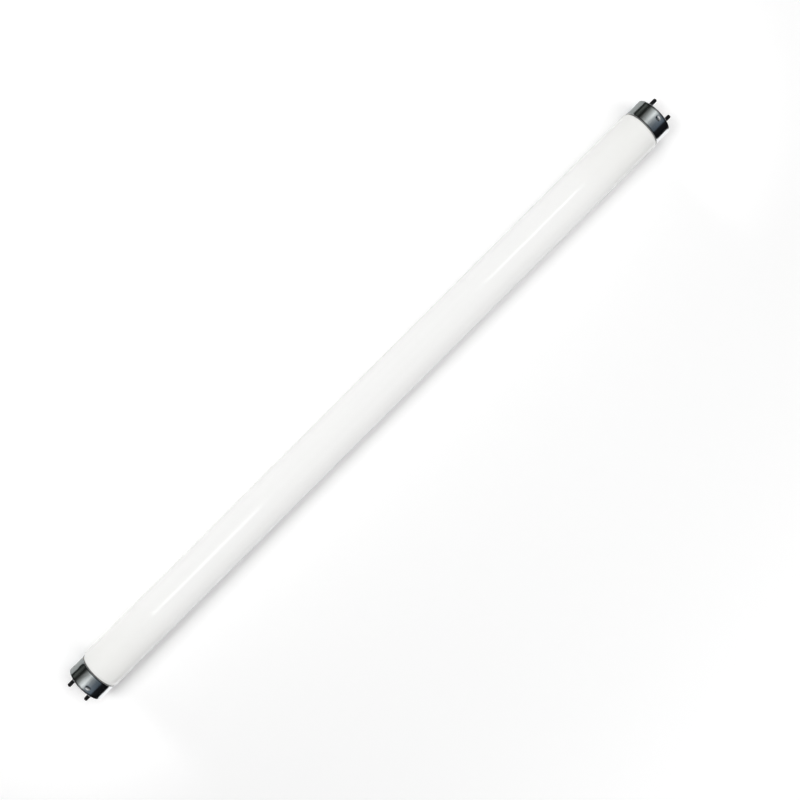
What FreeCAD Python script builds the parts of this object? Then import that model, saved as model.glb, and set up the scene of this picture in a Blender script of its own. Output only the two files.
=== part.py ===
# Straight fluorescent tube with a two-pin cap on each end, in millimetres.
# The lamp lies along X with its middle at the origin, and its contact pins stand in the XY plane.
# Every piece of an end is drawn once, with x running from the cap's face into the lamp, and placed twice.
import FreeCAD
import Part
import Sketcher
import math
import os

SIZES = {
    # sealed glass bulb
    "lamp_length": 470,  # from cap face to cap face, without the pins
    "glass_diameter": 26,
    "glass_wall": 0.8,
    "shoulder_radius": 3.5,  # outside rounding where the barrel turns in towards the cap
    "neck_fillet": 1.2,  # hollow rounding from the shoulder into the neck
    "stem_diameter": 8,
    "stem_length": 17,  # from the neck's end in to the press
    "press_length": 6,
    "exhaust_diameter": 4,
    "exhaust_tip_radius": 1.5,
    "exhaust_clearance": 1.2,  # from the exhaust tip to the pin plate
    # drawn aluminium cap
    "cap_step": 0.7,  # how far the skirt lies below the barrel
    "cap_wall": 0.3,
    "cap_length": 11.2,
    "cap_edge_radius": 0.8,
    "lip_width": 1.9,
    "rim_flare": 0.2,
    "rim_length": 1,
    "rim_clearance": 0.1,  # between the glass and the skirt at the rim
    "dent_count": 4,
    "dent_radius": 1.2,
    "dent_depth": 0.6,
    "dent_straight": 1,
    "dent_clearance": 0.05,  # from a dent to the pin plate that it holds
    "neck_clearance": 0.2,  # from a dent to the end of the glass neck
    "cement_thickness": 0.65,
    # insulating plate
    "plate_thickness": 1.8,
    "plate_clearance": 0.05,
    "tenon_clearance": 0.05,
    # contact pins
    "pin_pitch": 12.7,
    "pin_diameter": 2.35,
    "pin_length": 7.1,
    "pin_tip_radius": 0.9,
    "tenon_diameter": 1.9,
    "rivet_diameter": 3.2,
    "rivet_thickness": 0.4,
    "pin_bore": 1.1,
    "pin_bore_depth": 4,
    # lead wires
    "wire_diameter": 0.5,
    "wire_bend": 2,
    "wire_straight": 0.8,  # from the bend to the pin's riveted end
}

# Radii that follow from the sizes
GLASS_RADIUS = "(Sizes.glass_diameter / 2)"
CAP_RADIUS = f"({GLASS_RADIUS} - Sizes.cap_step)"
CAP_BORE = f"({CAP_RADIUS} - Sizes.cap_wall)"
NECK_RADIUS = f"({CAP_BORE} - Sizes.cement_thickness)"
STEM_RADIUS = "(Sizes.stem_diameter / 2)"
STEM_BORE = f"({STEM_RADIUS} - Sizes.glass_wall)"
EXHAUST_RADIUS = "(Sizes.exhaust_diameter / 2)"
FLARE_RADIUS = f"({NECK_RADIUS} - 2 * Sizes.glass_wall - {STEM_BORE})"
PIN_RADIUS = "(Sizes.pin_diameter / 2)"
PIN_PLACE = "(Sizes.pin_pitch / 2)"
WIRE_PLACE = f"(({STEM_BORE} + {EXHAUST_RADIUS}) / 2)"

# Depths from the cap's face that follow from the sizes
PLATE_BACK = "(Sizes.cap_wall + Sizes.plate_thickness)"
RIVET_BACK = f"({PLATE_BACK} + Sizes.rivet_thickness)"
BORE_END = f"({RIVET_BACK} - Sizes.pin_bore_depth)"
DENT_LIFT = "(Sizes.dent_radius - Sizes.dent_depth)"
DENT_BULGE = "(Sizes.dent_radius + Sizes.cap_wall)"
DENT_REACH = f"sqrt({DENT_BULGE} ^ 2 - ({DENT_LIFT} + Sizes.cap_wall + Sizes.plate_clearance) ^ 2)"
DENT_PLACE = f"({PLATE_BACK} + Sizes.dent_clearance + {DENT_REACH})"
NECK_END = f"({DENT_PLACE} + {DENT_BULGE} + Sizes.neck_clearance)"
SEAL = f"({NECK_END} + Sizes.glass_wall)"
FLARE_START = f"({SEAL} + {FLARE_RADIUS})"
PRESS = f"({NECK_END} + Sizes.stem_length)"
EXHAUST_TIP = f"({PLATE_BACK} + Sizes.exhaust_clearance)"
# The shoulder is two tangent arcs: their radii added up, how far they drop and how long they run
SHOULDER_SUM = "(Sizes.shoulder_radius + Sizes.neck_fillet)"
SHOULDER_DROP = f"({GLASS_RADIUS} - {NECK_RADIUS})"
SHOULDER_RUN = f"sqrt(2 * {SHOULDER_SUM} * {SHOULDER_DROP} - {SHOULDER_DROP} ^ 2)"
RIM_DROP = "(Sizes.cap_step + Sizes.cap_wall + Sizes.rim_clearance)"
RIM_REACH = f"sqrt(2 * Sizes.shoulder_radius * {RIM_DROP} - {RIM_DROP} ^ 2)"
SHOULDER_START = f"(Sizes.cap_length + {RIM_REACH})"
SHOULDER_END = f"({SHOULDER_START} - {SHOULDER_RUN})"
# The lead wire's bend is two equal tangent arcs
WIRE_RISE = f"({PIN_PLACE} - {WIRE_PLACE})"
WIRE_RUN = f"sqrt(4 * Sizes.wire_bend * {WIRE_RISE} - {WIRE_RISE} ^ 2)"
WIRE_BEND_END = f"({RIVET_BACK} + Sizes.wire_straight)"

# An arc in an outline turns left or right as the outline is followed
LEFT = 1
RIGHT = -1
# The cavity of a cap is cut past both of its ends by this much
OVERCUT = "1"

doc = FreeCAD.newDocument("fluorescent_tube")


def fill_sheet():
    """Put the driving sizes in the document's spreadsheet, one row for each."""
    sheet = doc.addObject("Spreadsheet::Sheet", "Sizes")
    for row, (alias, value) in enumerate(SIZES.items(), start=1):
        sheet.set(f"A{row}", alias)
        sheet.set(f"B{row}", str(value))
        sheet.setAlias(f"B{row}", alias)
    doc.recompute()


def new_body(label):
    body = doc.addObject("PartDesign::Body", label)
    body.Label = label
    return body


def origin_feature(body, role):
    return next(feature for feature in body.Origin.OriginFeatures if feature.Role == role)


def new_sketch(body, name, role="XY_Plane"):
    sketch = body.newObject("Sketcher::SketchObject", name)
    sketch.AttachmentSupport = [(origin_feature(body, role), "")]
    sketch.MapMode = "FlatFace"
    return sketch


def fix_point(sketch, edge, end, place):
    """Tie one end of an edge to a place that is given by two expressions, measured from the origin."""
    for kind, axis, text in (("DistanceX", -2, place[0]), ("DistanceY", -1, place[1])):
        if text == "0":
            sketch.addConstraint(Sketcher.Constraint("PointOnObject", edge, end, axis))
            continue
        value = float(sketch.evalExpression(text))
        number = sketch.addConstraint(Sketcher.Constraint(kind, -1, 1, edge, end, value))
        sketch.setExpression(f"Constraints[{number}]", text)


def arc_between(start, end, radius, turn):
    """The arc of less than half a circle from start to end, drawn anticlockwise as sketches need it."""
    chord = end - start
    side = FreeCAD.Vector(-chord.y, chord.x, 0).normalize() * turn
    middle = (start + end) * 0.5
    centre = middle + side * math.sqrt(max(radius**2 - (chord.Length / 2) ** 2, 0))
    first, last = (start, end) if turn == LEFT else (end, start)
    angles = [math.atan2(point.y - centre.y, point.x - centre.x) for point in (first, last)]
    return Part.ArcOfCircle(Part.Circle(centre, FreeCAD.Vector(0, 0, 1), radius), *angles)


def draw_outline(sketch, corners, closed=True):
    """Draw edges through corners (x, y), or (x, y, radius, turn) where an arc leads to the next corner."""
    places = [
        FreeCAD.Vector(float(sketch.evalExpression(corner[0])), float(sketch.evalExpression(corner[1])), 0)
        for corner in corners
    ]
    edge_count = len(corners) if closed else len(corners) - 1
    ends = []
    for index in range(edge_count):
        start, end = places[index], places[(index + 1) % len(places)]
        bend = corners[index][2:]
        if not bend:
            edge = sketch.addGeometry(Part.LineSegment(start, end), False)
            ends.append((edge, 1, 2))
            continue
        radius, turn = bend
        size = float(sketch.evalExpression(radius))
        edge = sketch.addGeometry(arc_between(start, end, size, turn), False)
        number = sketch.addConstraint(Sketcher.Constraint("Radius", edge, size))
        sketch.setExpression(f"Constraints[{number}]", radius)
        ends.append((edge, 1, 2) if turn == LEFT else (edge, 2, 1))
    for index, (edge, first, last) in enumerate(ends):
        fix_point(sketch, edge, first, corners[index])
        if closed or index + 1 < edge_count:
            following = ends[(index + 1) % edge_count]
            sketch.addConstraint(Sketcher.Constraint("Coincident", edge, last, following[0], following[1]))
        else:
            fix_point(sketch, edge, last, corners[-1])


def turn_outline(body, name, corners, kind="Revolution"):
    """Turn an outline about the body's X axis, to add material or, as a Groove, to take it away."""
    sketch = new_sketch(body, name + "_outline")
    draw_outline(sketch, corners)
    feature = body.newObject("PartDesign::" + kind, name)
    feature.Profile = sketch
    feature.ReferenceAxis = (sketch, ["H_Axis"])
    feature.Angle = 360
    doc.recompute()
    return feature


def both_ends(corners):
    """Corners given by their depth from the right cap's face, followed by their mirror image on the left."""
    right = [(f"Sizes.lamp_length / 2 - {corner[0]}", *corner[1:]) for corner in corners]
    left = []
    for index in reversed(range(len(right))):
        bend = right[index - 1][2:] if index else ()
        left.append((f"-({right[index][0]})", right[index][1], *bend))
    return right + left


def glass_tube():
    """The sealed bulb: barrel, shoulders and necks, each neck closed by a flared stem and its exhaust tube."""
    body = new_body("glass_tube")
    outside = [
        (EXHAUST_TIP, "0"),
        (EXHAUST_TIP, f"{EXHAUST_RADIUS} - Sizes.exhaust_tip_radius", "Sizes.exhaust_tip_radius", LEFT),
        (f"({EXHAUST_TIP} + Sizes.exhaust_tip_radius)", EXHAUST_RADIUS),
        (PRESS, EXHAUST_RADIUS),
        (PRESS, STEM_BORE),
        (FLARE_START, STEM_BORE, FLARE_RADIUS, LEFT),
        (SEAL, f"{NECK_RADIUS} - 2 * Sizes.glass_wall", "Sizes.glass_wall", LEFT),
        (NECK_END, f"{NECK_RADIUS} - Sizes.glass_wall", "Sizes.glass_wall", LEFT),
        (SEAL, NECK_RADIUS),
        (SHOULDER_END, NECK_RADIUS, "Sizes.neck_fillet", RIGHT),
        shoulder_bend("Sizes.shoulder_radius", GLASS_RADIUS),
        (SHOULDER_START, GLASS_RADIUS),
    ]
    turn_outline(body, "glass_outside", both_ends(outside))
    inner_shoulder = "(Sizes.shoulder_radius - Sizes.glass_wall)"
    inner_radius = f"({GLASS_RADIUS} - Sizes.glass_wall)"
    bore = f"{EXHAUST_RADIUS} - Sizes.glass_wall"
    press_back = f"({PRESS} + Sizes.press_length)"
    seal_back = f"({SEAL} + Sizes.glass_wall)"
    inside = [
        (f"({EXHAUST_TIP} + Sizes.glass_wall)", "0"),
        (f"({EXHAUST_TIP} + Sizes.glass_wall)", bore),
        (press_back, bore),
        (press_back, STEM_RADIUS),
        (FLARE_START, STEM_RADIUS, f"{FLARE_RADIUS} - Sizes.glass_wall", LEFT),
        (seal_back, f"{NECK_RADIUS} - 2 * Sizes.glass_wall"),
        (seal_back, f"{NECK_RADIUS} - Sizes.glass_wall"),
        (SHOULDER_END, f"{NECK_RADIUS} - Sizes.glass_wall", "Sizes.neck_fillet + Sizes.glass_wall", RIGHT),
        shoulder_bend(inner_shoulder, inner_radius),
        (SHOULDER_START, inner_radius),
    ]
    turn_outline(body, "glass_inside", both_ends(inside), "Groove")
    return body


def shoulder_bend(radius, start_radius):
    """Where the shoulder's outer arc, which starts at the barrel, meets the arc into the neck."""
    depth = f"({SHOULDER_START} - {radius} * {SHOULDER_RUN} / {SHOULDER_SUM})"
    height = f"{start_radius} - {radius} * {SHOULDER_DROP} / {SHOULDER_SUM}"
    return (depth, height, radius, LEFT)


def punch_dents(body, radius):
    """Take the round-ended dents out of a body: one with its length across the axis, then the ring of them."""
    sketch = new_sketch(body, body.Label + "_dent_outline")
    sketch.setExpression("AttachmentOffset.Base.x", DENT_PLACE)
    sketch.setExpression("AttachmentOffset.Base.z", f"{CAP_RADIUS} + {DENT_LIFT}")
    half = "Sizes.dent_straight / 2"
    draw_outline(
        sketch,
        [
            ("0", f"-({half} + {radius})", radius, LEFT),
            (radius, f"-({half})"),
            (radius, half, radius, LEFT),
            ("0", f"{half} + {radius}"),
        ],
    )
    dent = body.newObject("PartDesign::Groove", body.Label + "_dent")
    dent.Profile = sketch
    dent.ReferenceAxis = (sketch, ["V_Axis"])
    dent.Angle = 360
    doc.recompute()
    ring = body.newObject("PartDesign::PolarPattern", body.Label + "_dents")
    ring.Originals = [dent]
    ring.Axis = (origin_feature(body, "X_Axis"), [""])
    ring.Angle = 360
    ring.setExpression("Occurrences", "Sizes.dent_count")
    body.Tip = ring
    doc.recompute()


def cap_shell(label):
    """A drawn cup: turned-in lip, rounded edge, skirt with a flared rim, and dents with the wall kept even."""
    skirt_end = "Sizes.cap_length - Sizes.rim_length"
    blank = new_body(label + "_blank")
    turn_outline(
        blank,
        label + "_outside",
        [
            ("0", "0"),
            ("0", f"{CAP_RADIUS} - Sizes.cap_edge_radius", "Sizes.cap_edge_radius", RIGHT),
            ("Sizes.cap_edge_radius", CAP_RADIUS),
            (skirt_end, CAP_RADIUS),
            ("Sizes.cap_length", f"{CAP_RADIUS} + Sizes.rim_flare"),
            ("Sizes.cap_length", "0"),
        ],
    )
    punch_dents(blank, "Sizes.dent_radius")
    cavity = new_body(label + "_cavity")
    lip = f"{CAP_RADIUS} - Sizes.lip_width"
    turn_outline(
        cavity,
        label + "_inside",
        [
            (f"-{OVERCUT}", "0"),
            (f"-{OVERCUT}", lip),
            ("Sizes.cap_wall", lip),
            (
                "Sizes.cap_wall",
                f"{CAP_RADIUS} - Sizes.cap_edge_radius",
                "Sizes.cap_edge_radius - Sizes.cap_wall",
                RIGHT,
            ),
            ("Sizes.cap_edge_radius", CAP_BORE),
            (skirt_end, CAP_BORE),
            ("Sizes.cap_length", f"{CAP_BORE} + Sizes.rim_flare"),
            (f"Sizes.cap_length + {OVERCUT}", f"{CAP_BORE} + Sizes.rim_flare"),
            (f"Sizes.cap_length + {OVERCUT}", "0"),
        ],
    )
    punch_dents(cavity, DENT_BULGE)
    shell = doc.addObject("Part::Cut", label)
    shell.Label = label
    shell.Base = blank
    shell.Tool = cavity
    return shell


def pin_plate(label):
    """The insulating disc behind the lip, chamfered to clear the cap's rounded corner, with two pin holes."""
    body = new_body(label)
    radius = f"({CAP_BORE} - Sizes.plate_clearance)"
    chamfer = "(Sizes.cap_edge_radius - Sizes.cap_wall)"
    turn_outline(
        body,
        label + "_disc",
        [
            ("Sizes.cap_wall", "0"),
            ("Sizes.cap_wall", f"{radius} - {chamfer}"),
            (f"Sizes.cap_wall + {chamfer}", radius),
            (PLATE_BACK, radius),
            (PLATE_BACK, "0"),
        ],
    )
    sketch = new_sketch(body, label + "_hole_outline", "YZ_Plane")
    hole = "Sizes.tenon_diameter / 2 + Sizes.tenon_clearance"
    for sign in ("", "-"):
        draw_circle(sketch, (sign + PIN_PLACE, "0"), hole)
    pocket = body.newObject("PartDesign::Pocket", label + "_holes")
    pocket.Profile = sketch
    pocket.SideType = "Symmetric"
    pocket.Type = "ThroughAll"
    doc.recompute()
    return body


def draw_circle(sketch, place, radius):
    centre = FreeCAD.Vector(float(sketch.evalExpression(place[0])), 0, 0)
    size = float(sketch.evalExpression(radius))
    edge = sketch.addGeometry(Part.Circle(centre, FreeCAD.Vector(0, 0, 1), size), False)
    fix_point(sketch, edge, 3, place)
    number = sketch.addConstraint(Sketcher.Constraint("Radius", edge, size))
    sketch.setExpression(f"Constraints[{number}]", radius)


def contact_pin(label):
    """A turned pin: round tip, shoulder on the plate, tenon through it, and a riveted end with a wire bore."""
    body = new_body(label)
    tenon = "Sizes.tenon_diameter / 2"
    rivet = "Sizes.rivet_diameter / 2"
    turn_outline(
        body,
        label + "_turned",
        [
            ("-Sizes.pin_length", "0"),
            ("-Sizes.pin_length", f"{PIN_RADIUS} - Sizes.pin_tip_radius", "Sizes.pin_tip_radius", RIGHT),
            ("-Sizes.pin_length + Sizes.pin_tip_radius", PIN_RADIUS),
            ("Sizes.cap_wall", PIN_RADIUS),
            ("Sizes.cap_wall", tenon),
            (PLATE_BACK, tenon),
            (PLATE_BACK, rivet, "Sizes.rivet_thickness", RIGHT),
            (RIVET_BACK, f"{rivet} - Sizes.rivet_thickness"),
            (RIVET_BACK, "Sizes.pin_bore / 2"),
            (BORE_END, "Sizes.pin_bore / 2"),
            (BORE_END, "0"),
        ],
    )
    return body


def lead_wire(label):
    """A wire from the stem's press, along beside the exhaust tube and over to the bottom of a pin's bore."""
    body = new_body(label)
    path = new_sketch(body, label + "_path")
    bend_start = f"({WIRE_BEND_END} + {WIRE_RUN})"
    bend_middle = f"({WIRE_BEND_END} + {WIRE_RUN} / 2)"
    draw_outline(
        path,
        [
            (PRESS, WIRE_PLACE),
            (bend_start, WIRE_PLACE, "Sizes.wire_bend", RIGHT),
            (bend_middle, f"({PIN_PLACE} + {WIRE_PLACE}) / 2", "Sizes.wire_bend", LEFT),
            (WIRE_BEND_END, PIN_PLACE),
            (BORE_END, PIN_PLACE),
        ],
        closed=False,
    )
    section = new_sketch(body, label + "_section", "YZ_Plane")
    section.setExpression("AttachmentOffset.Base.z", PRESS)
    draw_circle(section, (WIRE_PLACE, "0"), "Sizes.wire_diameter / 2")
    doc.recompute()
    pipe = body.newObject("PartDesign::AdditivePipe", label + "_drawn")
    pipe.Profile = section
    pipe.Spine = path
    doc.recompute()
    return body


def cement_ring(label):
    """The cement that fills the gap between the glass neck and the cap's skirt."""
    body = new_body(label)
    corners = [(SEAL, NECK_RADIUS), (SHOULDER_END, NECK_RADIUS), (SHOULDER_END, CAP_BORE), (SEAL, CAP_BORE)]
    turn_outline(body, label + "_fill", corners)
    return body


def place(piece, face, turn_axis=None, across=None):
    """Put a piece's own x = 0 on a cap face, half turned about an axis where it has to face the other way."""
    if turn_axis:
        piece.Placement.Rotation = FreeCAD.Rotation(FreeCAD.Vector(*turn_axis), 180)
    piece.setExpression("Placement.Base.x", face)
    if across:
        piece.setExpression("Placement.Base.y", across)


def build_ends():
    """Make both ends. Half a turn about Z brings the right end's pieces round to face the left."""
    pieces = []
    faces = {"left": "-Sizes.lamp_length / 2", "right": "Sizes.lamp_length / 2"}
    half_turn = {"left": None, "right": (0, 0, 1)}
    wire_turn = {
        ("left", "rear"): None,
        ("left", "front"): (1, 0, 0),
        ("right", "rear"): (0, 1, 0),
        ("right", "front"): (0, 0, 1),
    }
    across = {"rear": PIN_PLACE, "front": f"-{PIN_PLACE}"}
    for end, face in faces.items():
        for make in (cap_shell, pin_plate, cement_ring):
            piece = make(f"{make.__name__}_{end}")
            place(piece, face, half_turn[end])
            pieces.append(piece)
        for side in across:
            pin = contact_pin(f"contact_pin_{end}_{side}")
            place(pin, face, half_turn[end], across[side])
            wire = lead_wire(f"lead_wire_{end}_{side}")
            place(wire, face, wire_turn[end, side])
            pieces += [pin, wire]
    return pieces


def check_document(pieces):
    """Stop if anything in the document failed, or if a piece isn't one valid solid."""
    failed = [item.Label for item in doc.Objects if {"Invalid", "Error"} & set(item.State)]
    for piece in pieces:
        shape = piece.Shape
        if shape.isNull() or not shape.isValid() or len(shape.Solids) != 1:
            failed.append(piece.Label)
    if failed:
        raise RuntimeError("failed: " + ", ".join(failed))


fill_sheet()
subparts = [glass_tube()] + build_ends()
doc.recompute()
check_document(subparts)
os.makedirs("parts", exist_ok=True)
for subpart in subparts:
    subpart.Shape.exportStep(f"parts/{subpart.Label}.step")
    box = subpart.Shape.BoundBox
    print(f"{subpart.Label}: {subpart.Shape.Volume:.2f} mm3, x {box.XMin:.2f} to {box.XMax:.2f}")
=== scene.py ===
import bpy
import math
from mathutils import Matrix, Vector


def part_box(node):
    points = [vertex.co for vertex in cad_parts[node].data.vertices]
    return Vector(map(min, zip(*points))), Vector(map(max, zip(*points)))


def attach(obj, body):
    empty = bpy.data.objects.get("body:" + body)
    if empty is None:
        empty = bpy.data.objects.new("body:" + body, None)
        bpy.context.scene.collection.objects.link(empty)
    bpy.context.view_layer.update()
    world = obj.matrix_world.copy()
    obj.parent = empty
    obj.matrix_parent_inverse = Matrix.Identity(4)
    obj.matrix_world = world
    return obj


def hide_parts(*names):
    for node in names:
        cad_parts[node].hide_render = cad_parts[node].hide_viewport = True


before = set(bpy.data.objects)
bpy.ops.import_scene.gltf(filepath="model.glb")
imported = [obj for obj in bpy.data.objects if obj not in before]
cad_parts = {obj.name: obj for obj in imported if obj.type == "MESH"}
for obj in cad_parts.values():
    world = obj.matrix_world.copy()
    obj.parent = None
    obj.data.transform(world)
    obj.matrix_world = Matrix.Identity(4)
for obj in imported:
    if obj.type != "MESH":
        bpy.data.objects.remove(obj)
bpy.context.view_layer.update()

# Glass tube
# One sealed bulb of drawn soda-lime glass, 26 mm across, necked down by flame at both ends so that the caps
# slip over it. A white phosphor powder coats the inside, so the glass looks like a glossy skin over chalk.
MM = 0.001
BARREL_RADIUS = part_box("glass_tube")[1].y
EXHAUST_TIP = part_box("glass_tube")[1].x
CAP_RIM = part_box("cap_shell_right")[0].x
CAP_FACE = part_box("cap_shell_right")[1].x
NECK_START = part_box("cement_ring_right")[0].x
NECK_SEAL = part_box("cement_ring_right")[1].x
NECK_RADIUS = 11.35 * MM
GLASS_WALL = 0.8 * MM
SHOULDER_RADIUS = 3.5 * MM
NECK_FILLET = 1.2 * MM
STEM_BORE = 3.2 * MM
STEM_LENGTH = 17 * MM
EXHAUST_RADIUS = 2 * MM
EXHAUST_ROUNDING = 1.5 * MM
BARREL_ROW = 10 * MM
GLASS_SEGMENTS = 128
WELD = 0.001 * MM


def arc_points(centre, radius, first_deg, last_deg, steps):
    """Points of an outline, as (distance along the axis, distance from it), on an arc about a centre."""
    made = []
    for step in range(steps + 1):
        angle = math.radians(first_deg + (last_deg - first_deg) * step / steps)
        made.append((centre[0] + radius * math.cos(angle), centre[1] + radius * math.sin(angle)))
    return made


def even_points(first, last, spacing):
    """Points on a straight run between two outline points, both left out, about a spacing apart."""
    count = max(1, round(math.dist(first, last) / spacing))
    made = []
    for step in range(1, count):
        share = step / count
        made.append((first[0] + (last[0] - first[0]) * share, first[1] + (last[1] - first[1]) * share))
    return made


def outline_curve(name, points, closed):
    """A poly curve through outline points: x runs along the lamp's axis and y away from it."""
    curve = bpy.data.curves.new(name, "CURVE")
    spline = curve.splines.new("POLY")
    spline.points.add(len(points) - 1)
    for point, (along, away) in zip(spline.points, points):
        point.co = (along, away, 0, 1)
    spline.use_cyclic_u = closed
    made = bpy.data.objects.new(name, curve)
    bpy.context.scene.collection.objects.link(made)
    return made


def add_node(tree, kind, settings=None, inputs=None):
    """Add a node with its settings to a tree, and fill its inputs with values or links."""
    made = tree.nodes.new(kind)
    for name, value in (settings or {}).items():
        setattr(made, name, value)
    for socket, value in (inputs or {}).items():
        if isinstance(value, bpy.types.NodeSocket):
            tree.links.new(value, made.inputs[socket])
        else:
            made.inputs[socket].default_value = value
    return made


def new_shape_tree(name, inputs):
    """An empty geometry tree with named inputs and one output, and the sockets that give the inputs."""
    tree = bpy.data.node_groups.new(name, "GeometryNodeTree")
    for label, kind in inputs.items():
        tree.interface.new_socket(label, in_out="INPUT", socket_type="NodeSocket" + kind)
    tree.interface.new_socket("Geometry", in_out="OUTPUT", socket_type="NodeSocketGeometry")
    return tree, add_node(tree, "NodeGroupInput").outputs


def turn_outline(tree, given):
    """Nodes that turn the outline about the lamp's axis: swept round a circle, with its poles welded."""
    outline = add_node(tree, "GeometryNodeObjectInfo", inputs={"Object": given["Outline"]})
    drop = add_node(tree, "ShaderNodeMath", {"operation": "MULTIPLY"}, {0: given["Radius"], 1: -1})
    shift = add_node(tree, "ShaderNodeCombineXYZ", inputs={"Y": drop.outputs[0]})
    section = add_node(
        tree,
        "GeometryNodeTransform",
        inputs={"Geometry": outline.outputs["Geometry"], "Translation": shift.outputs[0]},
    )
    circle = add_node(
        tree,
        "GeometryNodeCurvePrimitiveCircle",
        {"mode": "RADIUS"},
        {"Resolution": given["Segments"], "Radius": given["Radius"]},
    )
    upright = add_node(
        tree,
        "GeometryNodeTransform",
        inputs={"Geometry": circle.outputs["Curve"], "Rotation": (0, math.pi / 2, 0)},
    )
    swept = add_node(
        tree,
        "GeometryNodeCurveToMesh",
        inputs={"Curve": upright.outputs["Geometry"], "Profile Curve": section.outputs["Geometry"]},
    )
    welded = add_node(
        tree,
        "GeometryNodeMergeByDistance",
        inputs={"Geometry": swept.outputs["Mesh"], "Distance": given["Weld"]},
    )
    return welded.outputs["Geometry"]


def finish_shape(tree, given, geometry):
    """Close a geometry tree: smooth faces, real meshes and the material."""
    smooth = add_node(
        tree,
        "GeometryNodeSetShadeSmooth",
        inputs={"Geometry": geometry, "Shade Smooth": True},
    )
    real = add_node(
        tree,
        "GeometryNodeRealizeInstances",
        inputs={"Geometry": smooth.outputs["Geometry"]},
    )
    finished = add_node(
        tree,
        "GeometryNodeSetMaterial",
        inputs={"Geometry": real.outputs["Geometry"], "Material": given["Material"]},
    )
    add_node(tree, "NodeGroupOutput", inputs={"Geometry": finished.outputs["Geometry"]})


def made_by_nodes(name, tree, values):
    """Run a geometry tree once with its inputs set, and keep the result as a plain mesh object."""
    carrier = bpy.data.objects.new(name + "_carrier", bpy.data.meshes.new(name + "_carrier"))
    bpy.context.scene.collection.objects.link(carrier)
    modifier = carrier.modifiers.new("shape", "NODES")
    modifier.node_group = tree
    for item in tree.interface.items_tree:
        if item.in_out == "INPUT":
            modifier[item.identifier] = values[item.name]
    view = bpy.context.evaluated_depsgraph_get()
    mesh = bpy.data.meshes.new_from_object(carrier.evaluated_get(view))
    bpy.data.objects.remove(carrier)
    mesh.name = name
    made = bpy.data.objects.new(name, mesh)
    bpy.context.scene.collection.objects.link(made)
    return made


def linear(colour):
    """An sRGB hex colour as linear red, green, blue and alpha."""
    parts = [int(colour[place : place + 2], 16) / 255 for place in (1, 3, 5)]
    lit = [part / 12.92 if part <= 0.04045 else ((part + 0.055) / 1.055) ** 2.4 for part in parts]
    return (*lit, 1)


def new_material(name):
    """A node material with one Principled shader, and the place on the piece in object coordinates."""
    made = bpy.data.materials.new(name)
    made.use_nodes = True
    tree = made.node_tree
    tree.nodes.clear()
    shader = add_node(tree, "ShaderNodeBsdfPrincipled")
    add_node(tree, "ShaderNodeOutputMaterial", inputs={"Surface": shader.outputs["BSDF"]})
    place = add_node(tree, "ShaderNodeTexCoord").outputs["Object"]
    return made, tree, shader, place


# Phosphor-coated soda-lime glass, fire polished: a clear gloss over a chalky white.
# The powder's own grain is too fine to show, so its unevenness is drawn coarser. It ran down the tube as it
# dried, is a trace warmer towards the ends, and was wiped off just before the neck was sealed. Along each
# cap's rim a thin dark line is painted in: bare glass, and painted shade of the gap under the rim.
coated_glass, tree, shader, place = new_material("phosphor_coated_soda_lime_glass")
POWDER_GRAIN = 1.2 * MM
RUN_WIDTH = 2.5 * MM
RUN_LENGTH = 160 * MM
RUN_SHARE = 0.6
END_ZONE = (75 * MM, 2 * MM)
BARE_AND_SHADED_RIM_ZONE = (0.65 * MM, 0.2 * MM)
powder = add_node(
    tree,
    "ShaderNodeTexNoise",
    inputs={"Vector": place, "Scale": 1 / POWDER_GRAIN, "Detail": 3},
)
stretched = add_node(
    tree,
    "ShaderNodeMapping",
    inputs={"Vector": place, "Scale": (1 / RUN_LENGTH, 1 / RUN_WIDTH, 1 / RUN_WIDTH)},
)
runs = add_node(
    tree,
    "ShaderNodeTexNoise",
    inputs={"Vector": stretched.outputs[0], "Scale": 1, "Detail": 2},
)
# A mix node takes its share at 0, two numbers at 2 and 3 or two colours at 6 and 7, and gives a colour at 2
mottle = add_node(
    tree,
    "ShaderNodeMix",
    {"data_type": "FLOAT"},
    {0: RUN_SHARE, 2: powder.outputs["Fac"], 3: runs.outputs["Fac"]},
)
coat = add_node(
    tree,
    "ShaderNodeMix",
    {"data_type": "RGBA"},
    {0: mottle.outputs[0], 6: linear("#EFEFEE"), 7: linear("#F4F4F3")},
)
split = add_node(tree, "ShaderNodeSeparateXYZ", inputs={"Vector": place})
from_middle = add_node(tree, "ShaderNodeMath", {"operation": "ABSOLUTE"}, {0: split.outputs["X"]})
colour = coat
# The rim zone paints a thin dark line: bare glass together with painted shade of the gap under the cap's rim
for zone, zone_colour in ((END_ZONE, "#F1F1EF"), (BARE_AND_SHADED_RIM_ZONE, "#4E504B")):
    share = add_node(
        tree,
        "ShaderNodeMapRange",
        {"interpolation_type": "SMOOTHSTEP"},
        {"Value": from_middle.outputs[0], "From Min": CAP_RIM - zone[0], "From Max": CAP_RIM - zone[1]},
    )
    colour = add_node(
        tree,
        "ShaderNodeMix",
        {"data_type": "RGBA"},
        {0: share.outputs["Result"], 6: colour.outputs[2], 7: linear(zone_colour)},
    )
tree.links.new(colour.outputs[2], shader.inputs["Base Color"])
shader.inputs["Diffuse Roughness"].default_value = 0.45
shader.inputs["Roughness"].default_value = 0.6
shader.inputs["Specular IOR Level"].default_value = 0.2
shader.inputs["Coat Weight"].default_value = 1
shader.inputs["Coat Roughness"].default_value = 0.06
shader.inputs["Coat IOR"].default_value = 1.52

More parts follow.
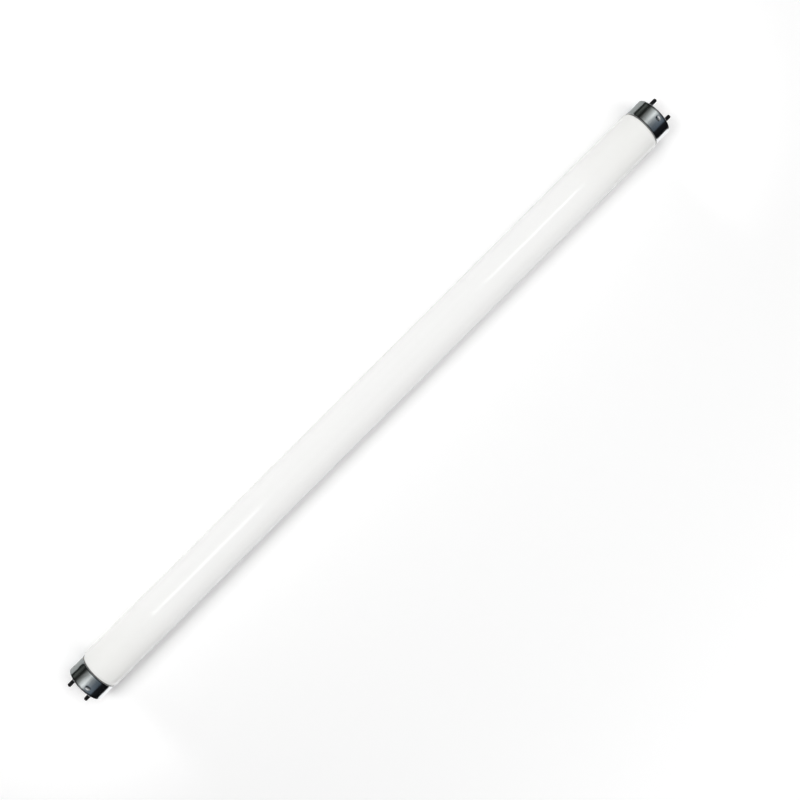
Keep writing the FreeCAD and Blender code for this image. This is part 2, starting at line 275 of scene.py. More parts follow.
shoulder_sum = SHOULDER_RADIUS + NECK_FILLET
shoulder_drop = BARREL_RADIUS - NECK_RADIUS
shoulder_run = math.sqrt(2 * shoulder_sum * shoulder_drop - shoulder_drop**2)
shoulder_start = NECK_START - shoulder_run
shoulder_deg = math.degrees(math.atan2(shoulder_sum - shoulder_drop, shoulder_run))
press = NECK_SEAL + GLASS_WALL - STEM_LENGTH
flare_radius = NECK_RADIUS - 2 * GLASS_WALL - STEM_BORE
flare_start = NECK_SEAL - flare_radius
tip_centre = (EXHAUST_TIP - EXHAUST_ROUNDING, EXHAUST_RADIUS - EXHAUST_ROUNDING)
flare_centre = (flare_start, STEM_BORE + flare_radius)
seal_centre = (NECK_SEAL, NECK_RADIUS - GLASS_WALL)
fillet_centre = (NECK_START, NECK_RADIUS + NECK_FILLET)
shoulder_centre = (shoulder_start, BARREL_RADIUS - SHOULDER_RADIUS)
right_end = [(EXHAUST_TIP, 0)]
right_end += arc_points(tip_centre, EXHAUST_ROUNDING, 0, 90, steps=8)
right_end += [(press, EXHAUST_RADIUS), (press, STEM_BORE)]
right_end += arc_points(flare_centre, flare_radius, -90, 0, steps=16)
right_end += arc_points(seal_centre, GLASS_WALL, -90, 90, steps=16)[1:]
right_end += arc_points(fillet_centre, NECK_FILLET, 270, 180 + shoulder_deg, steps=10)
right_end += arc_points(shoulder_centre, SHOULDER_RADIUS, shoulder_deg, 90, steps=20)[1:]
left_end = [(-along, away) for along, away in reversed(right_end)]
barrel = even_points(right_end[-1], left_end[0], BARREL_ROW)
glass_outline = outline_curve("glass_outline", right_end + barrel + left_end, closed=False)

glass_tree, given = new_shape_tree(
    "turned_glass",
    {"Outline": "Object", "Radius": "Float", "Segments": "Int", "Weld": "Float", "Material": "Material"},
)
finish_shape(glass_tree, given, turn_outline(glass_tree, given))
glass_bulb = made_by_nodes(
    "glass_bulb",
    glass_tree,
    {
        "Outline": glass_outline,
        "Radius": BARREL_RADIUS,
        "Segments": GLASS_SEGMENTS,
        "Weld": WELD,
        "Material": coated_glass,
    },
)
bpy.data.objects.remove(glass_outline)
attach(glass_bulb, "root")
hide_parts("glass_tube")

# Lead wires
# Dull nickel-plated iron wires that leave the glass stem beside the exhaust tube and run into the pins.
# They are drawn wire, left bare, and show only where a cap is opened.
TARNISH = 1.5 * MM
# Drawn wire with dull plating: a soft grey metal with darker and rougher patches of tarnish
bare_wire, tree, shader, place = new_material("drawn_nickel_plated_wire")
tarnish = add_node(
    tree,
    "ShaderNodeTexNoise",
    inputs={"Vector": place, "Scale": 1 / TARNISH, "Detail": 3},
)
tint = add_node(
    tree,
    "ShaderNodeMix",
    {"data_type": "RGBA"},
    {0: tarnish.outputs["Fac"], 6: linear("#C6C2B9"), 7: linear("#A69F92")},
)
tree.links.new(tint.outputs[2], shader.inputs["Base Color"])
dullness = add_node(
    tree,
    "ShaderNodeMapRange",
    inputs={"Value": tarnish.outputs["Fac"], "To Min": 0.25, "To Max": 0.5},
)
tree.links.new(dullness.outputs["Result"], shader.inputs["Roughness"])
shader.inputs["Metallic"].default_value = 1
for end in ("left", "right"):
    for side in ("front", "rear"):
        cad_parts[f"lead_wire_{end}_{side}"].material_slots[0].material = bare_wire

# Cement rings
# Heat-cured basing cement, a resin filled with marble powder, between the glass neck and the cap's skirt.
# It is cast in place as a paste, so it is matt, beige and gritty.
GRIT = 0.3 * MM
# Cured cement full of marble grains: a dry, speckled cream without shine
basing_cement, tree, shader, place = new_material("cured_marble_filled_cement")
grit = add_node(tree, "ShaderNodeTexNoise", inputs={"Vector": place, "Scale": 1 / GRIT, "Detail": 4})
tint = add_node(
    tree,
    "ShaderNodeMix",
    {"data_type": "RGBA"},
    {0: grit.outputs["Fac"], 6: linear("#C9BBA0"), 7: linear("#E0D6C2")},
)
tree.links.new(tint.outputs[2], shader.inputs["Base Color"])
shader.inputs["Roughness"].default_value = 0.85
for end in ("left", "right"):
    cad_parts[f"cement_ring_{end}"].material_slots[0].material = basing_cement

# Pin plates
# Discs punched from brown phenolic paper laminate, which carry the pins and insulate them from the cap.
# A plate is trapped between the cap's turned-in lip and the dents behind it.
FIBRE_LENGTH = 2.4 * MM
FIBRE_WIDTH = 0.35 * MM
# Phenolic laminate: dark brown with a low sheen. Its paper fibres are drawn wider than real ones to show
phenolic, tree, shader, place = new_material("punched_phenolic_paper_laminate")
fibre_place = add_node(
    tree,
    "ShaderNodeMapping",
    inputs={"Vector": place, "Scale": (1 / FIBRE_WIDTH, 1 / FIBRE_LENGTH, 1 / FIBRE_WIDTH)},
)
fibre = add_node(
    tree,
    "ShaderNodeTexNoise",
    inputs={"Vector": fibre_place.outputs[0], "Scale": 1, "Detail": 3},
)
tint = add_node(
    tree,
    "ShaderNodeMix",
    {"data_type": "RGBA"},
    {0: fibre.outputs["Fac"], 6: linear("#3A2114"), 7: linear("#5E3A22")},
)
tree.links.new(tint.outputs[2], shader.inputs["Base Color"])
sheen = add_node(
    tree,
    "ShaderNodeMapRange",
    inputs={"Value": fibre.outputs["Fac"], "To Min": 0.38, "To Max": 0.55},
)
tree.links.new(sheen.outputs["Result"], shader.inputs["Roughness"])
shader.inputs["IOR"].default_value = 1.6
for end in ("left", "right"):
    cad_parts[f"pin_plate_{end}"].material_slots[0].material = phenolic

# Contact pins
# Turned brass pins with a thin plating that handling and holders have dulled dark, two on each end.
# Each one's tenon goes through the plate and is riveted over behind it.
TOOL_MARK = 0.25 * MM
STAIN = 2.2 * MM
# Dulled plating: a dark, stained metal with rings from turning, drawn coarser than real ones to show
dulled_brass, tree, shader, place = new_material("turned_brass_dulled_plating")
marks_place = add_node(
    tree,
    "ShaderNodeMapping",
    inputs={"Vector": place, "Scale": (1 / TOOL_MARK, 1 / STAIN, 1 / STAIN)},
)
marks = add_node(
    tree,
    "ShaderNodeTexNoise",
    inputs={"Vector": marks_place.outputs[0], "Scale": 1, "Detail": 2},
)
stain = add_node(
    tree,
    "ShaderNodeTexNoise",
    inputs={"Vector": place, "Scale": 1 / STAIN, "Detail": 3},
)
tint = add_node(
    tree,
    "ShaderNodeMix",
    {"data_type": "RGBA"},
    {0: stain.outputs["Fac"], 6: linear("#3A383B"), 7: linear("#5A575A")},
)
tree.links.new(tint.outputs[2], shader.inputs["Base Color"])
wear = add_node(
    tree,
    "ShaderNodeMapRange",
    inputs={"Value": marks.outputs["Fac"], "To Min": 0.28, "To Max": 0.48},
)
tree.links.new(wear.outputs["Result"], shader.inputs["Roughness"])
shader.inputs["Metallic"].default_value = 1
for end in ("left", "right"):
    for side in ("front", "rear"):
        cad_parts[f"contact_pin_{end}_{side}"].material_slots[0].material = dulled_brass

# Cap shells
# Bright aluminium cups drawn from 0.3 mm sheet, with a turned-in lip, a rounded edge and a rim that flares
# over the glass. Four dents are punched into each skirt behind the plate, and cement holds the cup.
SKIRT_RADIUS = 12.3 * MM
SHEET = 0.3 * MM
EDGE_RADIUS = 0.8 * MM
LIP_RADIUS = 10.4 * MM
RIM_FLARE = 0.2 * MM
RIM_LENGTH = 1 * MM
RIM_ROUNDING = 0.1 * MM
DENT_COUNT = 4
DENT_DEPTH = 0.6 * MM
DENT_RADIUS = 1.2 * MM
DENT_STRAIGHT = 1 * MM
DENT_FROM_FACE = 3.311 * MM
DENT_ROUNDING = 0.4 * MM
DENT_ZONE = 1.7 * MM
DENT_ROW = 0.15 * MM
SKIRT_ROW = 0.6 * MM
RIM_ROW = 0.12 * MM
CAP_SEGMENTS = 320

# Bright drawn aluminium: a soft mirror with faint lines along the draw, made coarser than real ones to show,
# and a slightly uneven skin that makes reflections waver. Handling has scuffed the edge round the face.
DRAW_LINE = 0.22 * MM
DRAW_LENGTH = 6 * MM
SKIN_WAVE = (5 * MM, 2.2 * MM)
SKIN_DEPTH = 0.06 * MM
SCUFF = 0.5 * MM
SCUFF_ZONE = 1.5 * MM
SCUFF_ROUGHNESS = 0.3
drawn_aluminium, tree, shader, place = new_material("bright_drawn_aluminium")
line_place = add_node(
    tree,
    "ShaderNodeMapping",
    inputs={"Vector": place, "Scale": (1 / DRAW_LENGTH, 1 / DRAW_LINE, 1 / DRAW_LINE)},
)
lines = add_node(
    tree,
    "ShaderNodeTexNoise",
    inputs={"Vector": line_place.outputs[0], "Scale": 1, "Detail": 2},
)
tint = add_node(
    tree,
    "ShaderNodeMix",
    {"data_type": "RGBA"},
    {0: lines.outputs["Fac"], 6: linear("#CCCED0"), 7: linear("#D8DADC")},
)
tree.links.new(tint.outputs[2], shader.inputs["Base Color"])
polish = add_node(
    tree,
    "ShaderNodeMapRange",
    inputs={"Value": lines.outputs["Fac"], "To Min": 0.08, "To Max": 0.2},
)
split = add_node(tree, "ShaderNodeSeparateXYZ", inputs={"Vector": place})
from_middle = add_node(tree, "ShaderNodeMath", {"operation": "ABSOLUTE"}, {0: split.outputs["X"]})
near_face = add_node(
    tree,
    "ShaderNodeMapRange",
    inputs={"Value": from_middle.outputs[0], "From Min": CAP_FACE - SCUFF_ZONE, "From Max": CAP_FACE},
)
scuffs = add_node(tree, "ShaderNodeTexNoise", inputs={"Vector": place, "Scale": 1 / SCUFF, "Detail": 3})
scuffed = add_node(
    tree,
    "ShaderNodeMath",
    {"operation": "MULTIPLY"},
    {0: near_face.outputs["Result"], 1: scuffs.outputs["Fac"]},
)
roughness = add_node(
    tree,
    "ShaderNodeMath",
    {"operation": "MULTIPLY_ADD"},
    {0: scuffed.outputs[0], 1: SCUFF_ROUGHNESS, 2: polish.outputs["Result"]},
)
tree.links.new(roughness.outputs[0], shader.inputs["Roughness"])
wave_place = add_node(
    tree,
    "ShaderNodeMapping",
    inputs={"Vector": place, "Scale": (1 / SKIN_WAVE[0], 1 / SKIN_WAVE[1], 1 / SKIN_WAVE[1])},
)
waves = add_node(
    tree,
    "ShaderNodeTexNoise",
    inputs={"Vector": wave_place.outputs[0], "Scale": 1, "Detail": 1},
)
skin = add_node(
    tree,
    "ShaderNodeBump",
    inputs={"Strength": 1, "Distance": SKIN_DEPTH, "Height": waves.outputs["Fac"]},
)
tree.links.new(skin.outputs["Normal"], shader.inputs["Normal"])
shader.inputs["Metallic"].default_value = 1


def sheet_side(depth):
    """The outer side of the cap's section, or the inner one when the depth is the sheet's thickness."""
    radius = SKIRT_RADIUS - depth
    corner = (CAP_FACE - EDGE_RADIUS, SKIRT_RADIUS - EDGE_RADIUS)
    lip_start = (CAP_FACE - depth, LIP_RADIUS + RIM_ROUNDING)
    side = [lip_start]
    side += even_points(lip_start, (CAP_FACE - depth, corner[1]), 2 * RIM_ROW)
    side += arc_points(corner, EDGE_RADIUS - depth, 0, 90, steps=10)
    dent = CAP_FACE - DENT_FROM_FACE
    flare = CAP_RIM + RIM_LENGTH
    stops = [side[-1][0], dent + DENT_ZONE, dent - DENT_ZONE, flare]
    for first, last, row in zip(stops, stops[1:], (SKIRT_ROW, DENT_ROW, SKIRT_ROW)):
        side += even_points((first, radius), (last, radius), row) + [(last, radius)]
    run = RIM_LENGTH - RIM_ROUNDING
    count = round(run / RIM_ROW)
    for step in range(1, count + 1):
        share = step / count
        side.append((flare - run * share, radius + RIM_FLARE * share**2 * (2 - share)))
    return side


outer = sheet_side(0)
inner = sheet_side(SHEET)
cap_section = outer + [(CAP_RIM, outer[-1][1] - RIM_ROUNDING), (CAP_RIM, inner[-1][1] + RIM_ROUNDING)]
cap_section += reversed(inner)
cap_section += [(CAP_FACE - SHEET + RIM_ROUNDING, LIP_RADIUS), (CAP_FACE - RIM_ROUNDING, LIP_RADIUS)]
cap_outline = outline_curve("cap_outline", cap_section, closed=True)

cap_tree, given = new_shape_tree(
    "turned_and_dented_cap",
    {
        "Outline": "Object",
        "Radius": "Float",
        "Segments": "Int",
        "Weld": "Float",
        "Dents": "Float",
        "Dent Place": "Float",
        "Dent Radius": "Float",
        "Dent Depth": "Float",
        "Dent Straight": "Float",
        "Dent Rounding": "Float",
        "Turn": "Vector",
        "Material": "Material",
    },
)

# Each point of the sheet moves towards the axis where the punch, a round-ended bar, lies lower than it.
# The inner side sees a punch that is one sheet thickness larger, so the wall keeps its thickness.
# A row gives the name of a result, the sum that makes it, and the numbers or earlier results it works on.
DENT_RULE = (
    ("angle", "ARCTAN2", "Z", "Y"),
    ("pitch", "DIVIDE", 2 * math.pi, "Dents"),
    ("pitches", "DIVIDE", "angle", "pitch"),
    ("whole_pitches", "ROUND", "pitches"),
    ("nearest", "MULTIPLY", "whole_pitches", "pitch"),
    ("off_angle", "SUBTRACT", "angle", "nearest"),
    ("z_squared", "POWER", "Z", 2),
    ("away_squared", "MULTIPLY_ADD", "Y", "Y", "z_squared"),
    ("away", "SQRT", "away_squared"),
    ("off_cosine", "COSINE", "off_angle"),
    ("height", "MULTIPLY", "away", "off_cosine"),
    ("off_sine", "SINE", "off_angle"),
    ("to_one_side", "MULTIPLY", "away", "off_sine"),
    ("across", "ABSOLUTE", "to_one_side"),
    ("past_half", "MULTIPLY_ADD", "Dent Straight", -0.5, "across"),
    ("past_straight", "MAXIMUM", "past_half", 0),
    ("along", "SUBTRACT", "X", "Dent Place"),
    ("depth_in_sheet", "SUBTRACT", "Radius", "away"),
    ("punch", "ADD", "Dent Radius", "depth_in_sheet"),
    ("punch_squared", "POWER", "punch", 2),
    ("along_squared", "POWER", "along", 2),
    ("left_lengthwise", "SUBTRACT", "punch_squared", "along_squared"),
    ("past_squared", "POWER", "past_straight", 2),
    ("left_over", "SUBTRACT", "left_lengthwise", "past_squared"),
    ("left_under_punch", "MAXIMUM", "left_over", 0),
    ("sag", "SQRT", "left_under_punch"),
    ("punch_on_skirt", "ADD", "Radius", "Dent Radius"),
    ("punch_centre", "SUBTRACT", "punch_on_skirt", "Dent Depth"),
    ("punch_bottom", "SUBTRACT", "punch_centre", "sag"),
    ("punched", "SMOOTH_MIN", "height", "punch_bottom", "Dent Rounding"),
    ("move", "SUBTRACT", "punched", "height"),
    ("nearest_cosine", "COSINE", "nearest"),
    ("move_y", "MULTIPLY", "move", "nearest_cosine"),
    ("nearest_sine", "SINE", "nearest"),
    ("move_z", "MULTIPLY", "move", "nearest_sine"),
)
turned = turn_outline(cap_tree, given)
spot = add_node(cap_tree, "GeometryNodeInputPosition").outputs[0]
spot_parts = add_node(cap_tree, "ShaderNodeSeparateXYZ", inputs={0: spot}).outputs
found = {socket.name: socket for socket in (*given, *spot_parts)}
for result, operation, *values in DENT_RULE:
    inputs = {socket: found.get(value, value) for socket, value in enumerate(values)}
    found[result] = add_node(cap_tree, "ShaderNodeMath", {"operation": operation}, inputs).outputs[0]
offset = add_node(
    cap_tree,
    "ShaderNodeCombineXYZ",
    inputs={"Y": found["move_y"], "Z": found["move_z"]},
)
dented = add_node(
    cap_tree, "GeometryNodeSetPosition", inputs={"Geometry": turned, "Offset": offset.outputs[0]}
)
facing = add_node(
    cap_tree,
    "GeometryNodeTransform",
    inputs={"Geometry": dented.outputs["Geometry"], "Rotation": given["Turn"]},
)
finish_shape(cap_tree, given, facing.outputs["Geometry"])
for end, half_turn in (("left", math.pi), ("right", 0)):
    cap = made_by_nodes(
        f"cap_{end}",
        cap_tree,
        {
            "Outline": cap_outline,
            "Radius": SKIRT_RADIUS,
            "Segments": CAP_SEGMENTS,
            "Weld": WELD,
            "Dents": DENT_COUNT,
            "Dent Place": CAP_FACE - DENT_FROM_FACE,
            "Dent Radius": DENT_RADIUS,
            "Dent Depth": DENT_DEPTH,
            "Dent Straight": DENT_STRAIGHT,
            "Dent Rounding": DENT_ROUNDING,
            "Turn": (0, 0, half_turn),
            "Material": drawn_aluminium,
        },
    )
    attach(cap, "root")
    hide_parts(f"cap_shell_{end}")
bpy.data.objects.remove(cap_outline)

# Floor and surroundings
# A pale matt studio floor that the tube lies on, in a white room. The floor keeps the tube's shadow, and its
# own light, which grows away from the tube and is a little stronger round the caps, lifts it to white for
# the camera and for reflections.
FLOOR_HALF = 4
FLOOR_GLOW = 0.05
FAR_GLOW = 0.95
GLOW_RANGE = (0.02, 1.2)
END_GLOW = 0.1
END_GLOW_RANGE = (222 * MM, 242 * MM)
END_GLOW_FADE = (30 * MM, 120 * MM)
ROOM_LIGHT = 0.205


def seen_directly(tree):
    """One for camera, mirror and see-through rays, and nothing for the rays that carry soft light."""
    path = add_node(tree, "ShaderNodeLightPath").outputs
    mirror = add_node(
        tree,
        "ShaderNodeMath",
        {"operation": "MAXIMUM"},
        {0: path["Is Glossy Ray"], 1: path["Is Transmission Ray"]},
    )
    seen = add_node(
        tree,
        "ShaderNodeMath",
        {"operation": "MAXIMUM"},
        {0: path["Is Camera Ray"], 1: mirror.outputs[0]},
    )
    return seen.outputs[0]


floor_mesh = bpy.data.meshes.new("floor")
corners = [(-1, -1), (1, -1), (1, 1), (-1, 1)]
floor_points = [(x * FLOOR_HALF, y * FLOOR_HALF, -BARREL_RADIUS) for x, y in corners]
floor_mesh.from_pydata(floor_points, [], [(0, 1, 2, 3)])
floor = bpy.data.objects.new("floor", floor_mesh)
bpy.context.scene.collection.objects.link(floor)
matt_white = bpy.data.materials.new("matt_white_floor")
matt_white.use_nodes = True
tree = matt_white.node_tree
tree.nodes.clear()
paint = add_node(tree, "ShaderNodeBsdfDiffuse", inputs={"Color": linear("#FBFBFB")})
place = add_node(tree, "ShaderNodeTexCoord").outputs["Object"]
# The distance from the tube's middle line is measured flat on the floor, so any height is taken off
ANY_HEIGHT = 1
off_middle = add_node(tree, "ShaderNodeVectorMath", {"operation": "ABSOLUTE"}, {0: place})
past_tube = add_node(
    tree,
    "ShaderNodeVectorMath",
    {"operation": "SUBTRACT"},
    {0: off_middle.outputs[0], 1: (CAP_FACE, 0, ANY_HEIGHT)},
)
beside_tube = add_node(
    tree,
    "ShaderNodeVectorMath",
    {"operation": "MAXIMUM"},
    {0: past_tube.outputs[0], 1: (0, 0, 0)},
)
from_tube = add_node(tree, "ShaderNodeVectorMath", {"operation": "LENGTH"}, {0: beside_tube.outputs[0]})
glow_here = add_node(
    tree,
    "ShaderNodeMapRange",
    {"interpolation_type": "SMOOTHSTEP"},
    {
        "Value": from_tube.outputs["Value"],
        "From Min": GLOW_RANGE[0],
        "From Max": GLOW_RANGE[1],
        "To Min": FLOOR_GLOW,
        "To Max": FAR_GLOW,
    },
)
along = add_node(tree, "ShaderNodeSeparateXYZ", inputs={"Vector": off_middle.outputs[0]}).outputs["X"]
end_glow = add_node(
    tree,
    "ShaderNodeMapRange",
    {"interpolation_type": "SMOOTHSTEP"},
    {"Value": along, "From Min": END_GLOW_RANGE[0], "From Max": END_GLOW_RANGE[1], "To Max": END_GLOW},
)
near_tube = add_node(
    tree,
    "ShaderNodeMapRange",
    {"interpolation_type": "SMOOTHSTEP"},
    {
        "Value": from_tube.outputs["Value"],
        "From Min": END_GLOW_FADE[0],
        "From Max": END_GLOW_FADE[1],
        "To Min": 1,
        "To Max": 0,
    },
)
whole_glow = add_node(
    tree,
    "ShaderNodeMath",
    {"operation": "MULTIPLY_ADD"},
    {0: end_glow.outputs["Result"], 1: near_tube.outputs["Result"], 2: glow_here.outputs["Result"]},
)
glow_strength = add_node(
    tree,
    "ShaderNodeMath",
    {"operation": "MULTIPLY"},
    {0: seen_directly(tree), 1: whole_glow.outputs[0]},
)
glow = add_node(tree, "ShaderNodeEmission", inputs={"Strength": glow_strength.outputs[0]})
both = add_node(tree, "ShaderNodeAddShader", inputs={0: paint.outputs[0], 1: glow.outputs[0]})
add_node(tree, "ShaderNodeOutputMaterial", inputs={"Surface": both.outputs[0]})
floor_mesh.materials.append(matt_white)

room = bpy.data.worlds.new("white_room")
bpy.context.scene.world = room
room.use_nodes = True
tree = room.node_tree
tree.nodes.clear()
room_strength = add_node(
    tree,
    "ShaderNodeMapRange",
    inputs={"Value": seen_directly(tree), "To Min": ROOM_LIGHT, "To Max": 1},
)
air = add_node(
    tree,
    "ShaderNodeBackground",
    inputs={"Color": linear("#FFFFFF"), "Strength": room_strength.outputs["Result"]},
)
add_node(tree, "ShaderNodeOutputWorld", inputs={"Surface": air.outputs[0]})

# Cap cards
# A small arched card stands over each cap, as for a photograph of bright metal, graded from light to black
# round the arch, with a strip on the floor at each foot. Only reflections from close by see the cards, so
# the glass doesn't mirror them at a glancing angle, and they take no light.
ARCH_RADIUS = 50 * MM
ARCH_ENDS = (185 * MM, 300 * MM)
BANDS_GROW = (212 * MM, 235.5 * MM)
CARD_REACH = (75 * MM, 95 * MM)
ARCH_STEPS = 84
FOOT_ENDS = (227.5 * MM, 262 * MM)
FOOT_LIFT = 0.5 * MM
ARCH_FOOT = math.acos(-BARREL_RADIUS / ARCH_RADIUS)
# Colours round the arch, by the angle in degrees from straight up, with the rear side positive. They grow
# out of plain white over the glass.
ARCH_BANDS = {
    -105: "#FFFFFF",
    -99: "#FFFFFF",
    -95: "#0A0A0C",
    -47: "#16181B",
    -37: "#56606A",
    -18: "#677078",
    2: "#969C9E",
    19: "#EEF2F0",
    36: "#A8ABA8",
    58: "#2C2E2B",
    68: "#161816",
    82: "#525652",
    94: "#181A18",
    105: "#1E201E",
}
# Brightness along the lamp: it falls over the glass, rises to just past the cap's face, and then stops
ARCH_FADE = {
    185 * MM: 0.9,
    200 * MM: 0.6,
    212 * MM: 0.42,
    235.5 * MM: 0.75,
    246.5 * MM: 1.5,
    250 * MM: 0.05,
    300 * MM: 0.05,
}
BAND_RANGE = (min(ARCH_BANDS), max(ARCH_BANDS))


def reflected_card(name, points, faces, face):
    """A card that only mirror rays see."""
    mesh = bpy.data.meshes.new(name)
    mesh.from_pydata(points, [], faces)
    mesh.materials.append(face)
    card = bpy.data.objects.new(name, mesh)
    bpy.context.scene.collection.objects.link(card)
    card.visible_camera = False
    card.visible_diffuse = False
    card.visible_transmission = False
    card.visible_volume_scatter = False
    card.visible_shadow = False


def glowing(name):
    """A card's face, which gives the same light to every side and is clear from far away, and its glow."""
    face = bpy.data.materials.new(name)
    face.use_nodes = True
    tree = face.node_tree
    tree.nodes.clear()
    shine = add_node(tree, "ShaderNodeEmission")
    clear = add_node(tree, "ShaderNodeBsdfTransparent")
    path = add_node(tree, "ShaderNodeLightPath").outputs
    far_off = add_node(
        tree,
        "ShaderNodeMapRange",
        inputs={"Value": path["Ray Length"], "From Min": CARD_REACH[0], "From Max": CARD_REACH[1]},
    )
    card = add_node(
        tree,
        "ShaderNodeMixShader",
        inputs={0: far_off.outputs["Result"], 1: shine.outputs[0], 2: clear.outputs[0]},
    )
    add_node(tree, "ShaderNodeOutputMaterial", inputs={"Surface": card.outputs[0]})
    return face, shine


def floor_card(name, ends, sides, face):
    """A card just over the floor, between two places along the lamp and two across it."""
    points = [(x, y, FOOT_LIFT - BARREL_RADIUS) for y in sides for x in ends]
    reflected_card(name, points, [(0, 1, 3, 2)], face)


arch_face, shine = glowing("graded_arch_card")
tree = arch_face.node_tree
place = add_node(tree, "ShaderNodeTexCoord").outputs["Object"]
split = add_node(tree, "ShaderNodeSeparateXYZ", inputs={"Vector": place}).outputs
angle = add_node(tree, "ShaderNodeMath", {"operation": "ARCTAN2"}, {0: split["Y"], 1: split["Z"]})
angle_deg = add_node(tree, "ShaderNodeMath", {"operation": "DEGREES"}, {0: angle.outputs[0]})
from_middle = add_node(tree, "ShaderNodeMath", {"operation": "ABSOLUTE"}, {0: split["X"]})
bands = {stop: linear(colour) for stop, colour in ARCH_BANDS.items()}
fades = {stop: (fade, fade, fade, 1) for stop, fade in ARCH_FADE.items()}
ramps = {}
for name, value, ends, stops in (
    ("band", angle_deg.outputs[0], BAND_RANGE, bands),
    ("fade", from_middle.outputs[0], ARCH_ENDS, fades),
):
    share = add_node(
        tree,
        "ShaderNodeMapRange",
        inputs={"Value": value, "From Min": ends[0], "From Max": ends[1]},
    )
    ramp = add_node(tree, "ShaderNodeValToRGB", inputs={"Fac": share.outputs["Result"]})
    elements = ramp.color_ramp.elements
    while len(elements) < len(stops):
        elements.new(0.5)
    for element, (stop, colour) in zip(elements, stops.items()):
        element.position = (stop - ends[0]) / (ends[1] - ends[0])
        element.color = colour
    ramps[name] = ramp.outputs["Color"]
banded = add_node(
    tree,
    "ShaderNodeMapRange",
    {"interpolation_type": "SMOOTHSTEP"},
    {"Value": from_middle.outputs[0], "From Min": BANDS_GROW[0], "From Max": BANDS_GROW[1]},
)
tint = add_node(
    tree,
    "ShaderNodeMix",
    {"data_type": "RGBA"},
    {0: banded.outputs["Result"], 6: linear("#FFFFFF"), 7: ramps["band"]},
)
tree.links.new(tint.outputs[2], shine.inputs["Color"])
tree.links.new(ramps["fade"], shine.inputs["Strength"])

rear_foot_face, shine = glowing("rear_foot_card")
shine.inputs["Color"].default_value = linear("#B4B8B6")
shine.inputs["Strength"].default_value = 1
front_foot_face, shine = glowing("front_foot_card")
shine.inputs["Color"].default_value = linear("#FFFFFF")
shine.inputs["Strength"].default_value = 1.3
end_face, shine = glowing("dark_end_card")
shine.inputs["Color"].default_value = linear("#5A5A5A")

arch = []
for step in range(ARCH_STEPS + 1):
    turn = ARCH_FOOT * (2 * step / ARCH_STEPS - 1)
    arch.append((ARCH_RADIUS * math.sin(turn), ARCH_RADIUS * math.cos(turn)))
row = len(arch)
arch_faces = [(step, step + 1, row + step + 1, row + step) for step in range(ARCH_STEPS)]
foot_sides = (BARREL_RADIUS, arch[-1][0])
for end, way in (("left", -1), ("right", 1)):
    points = [(way * x, y, z) for x in ARCH_ENDS for y, z in arch]
    reflected_card(f"{end}_arch_card", points, arch_faces, arch_face)
    reflected_card(f"{end}_end_card", points[row:], [tuple(range(row))], end_face)
    foot_ends = [way * x for x in FOOT_ENDS]
    floor_card(f"{end}_rear_foot_card", foot_ends, foot_sides, rear_foot_face)
    floor_card(f"{end}_front_foot_card", foot_ends, [-y for y in foot_sides], front_foot_face)
    past_face = (way * CAP_FACE, way * ARCH_ENDS[1])
    floor_card(f"{end}_front_of_face_card", past_face, (-BARREL_RADIUS, BARREL_RADIUS), end_face)

# Lamps
# Two narrow softboxes over the rear half give the two long streaks on the glass. Five larger lamps, which
# have no reflection of their own, do most of the lighting: the tube's shadow falls to the front, longest at
# the left, and a low lamp that stands in front lightens the tube's front side.


def soft_light(name, place, width, depth, power):
    """A rectangular lamp that hangs level and faces down until it is turned."""
    data = bpy.data.lights.new(name, "AREA")
    data.shape = "RECTANGLE"
    data.size = width
    data.size_y = depth
    data.energy = power
    light = bpy.data.objects.new(name, data)
    light.location = place
    bpy.context.scene.collection.objects.link(light)
    return light


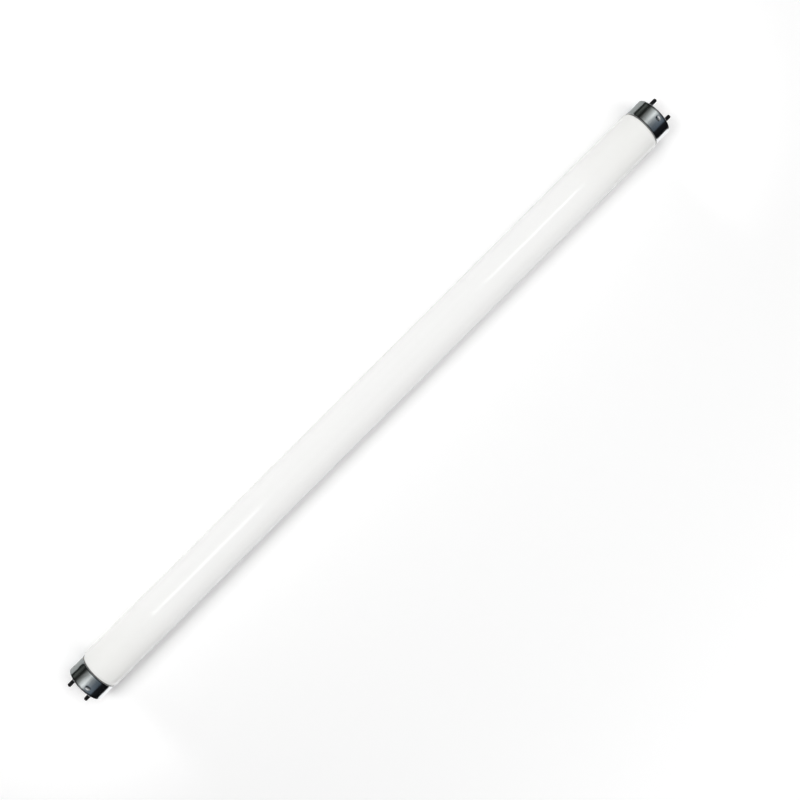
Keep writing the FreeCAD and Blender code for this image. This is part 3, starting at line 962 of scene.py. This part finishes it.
soft_light("softbox_left", (-0.345, 0.39, 1), width=0.24, depth=0.28, power=0.56)
soft_light("softbox_right", (0.335, 0.38, 1), width=0.2, depth=0.23, power=0.42)
rear_light = soft_light("rear_light", (0, 1.3, 2.25), width=1.6, depth=1.2, power=9.5)
left_light = soft_light("left_light", (-0.36, 0.57, 1), width=0.5, depth=0.5, power=6.0)
right_light = soft_light("right_light", (0.38, 0.24, 1), width=0.5, depth=0.5, power=2.3)
front_light = soft_light("front_light", (0.45, -0.4, 1.25), width=0.9, depth=0.9, power=4.6)
low_light = soft_light("low_light", (0.1, -0.9, 0.2), width=1.4, depth=0.25, power=0.9)
low_light.rotation_euler.x = math.radians(90)
for light in (rear_light, left_light, right_light, front_light, low_light):
    light.visible_camera = False
    light.visible_glossy = False

# Camera
# It stands almost straight above the tube, a little to the rear, and is rolled so that the tube lies across
# the picture's diagonal. It looks slightly to one side of the tube's middle.
IMAGE_SIZE = 800
FOCAL_PIXELS = 1197
SENSOR = 36
TILT = math.radians(12)
DISTANCE = 0.70
ROLL = math.radians(44.98)
MIDDLE_PIXEL = (371.35, 398.63)
back = Vector((0, math.sin(TILT), math.cos(TILT)))
upper = Vector((0, math.cos(TILT), -math.sin(TILT)))
lengthwise = Vector((1, 0, 0))
right = math.cos(ROLL) * lengthwise - math.sin(ROLL) * upper
up = math.sin(ROLL) * lengthwise + math.cos(ROLL) * upper
turn_right = math.atan((IMAGE_SIZE / 2 - MIDDLE_PIXEL[0]) / FOCAL_PIXELS)
turn_up = math.atan((MIDDLE_PIXEL[1] - IMAGE_SIZE / 2) / FOCAL_PIXELS)
aim = Matrix((right, up, back)).transposed()
aim = aim @ Matrix.Rotation(-turn_right, 3, "Y") @ Matrix.Rotation(turn_up, 3, "X")
camera_data = bpy.data.cameras.new("camera")
camera_data.sensor_width = SENSOR
camera_data.lens = FOCAL_PIXELS / IMAGE_SIZE * SENSOR
camera = bpy.data.objects.new("camera", camera_data)
camera.matrix_world = Matrix.Translation(back * DISTANCE) @ aim.to_4x4()
bpy.context.scene.collection.objects.link(camera)
bpy.context.scene.camera = camera
bpy.context.scene.view_settings.view_transform = "Standard"
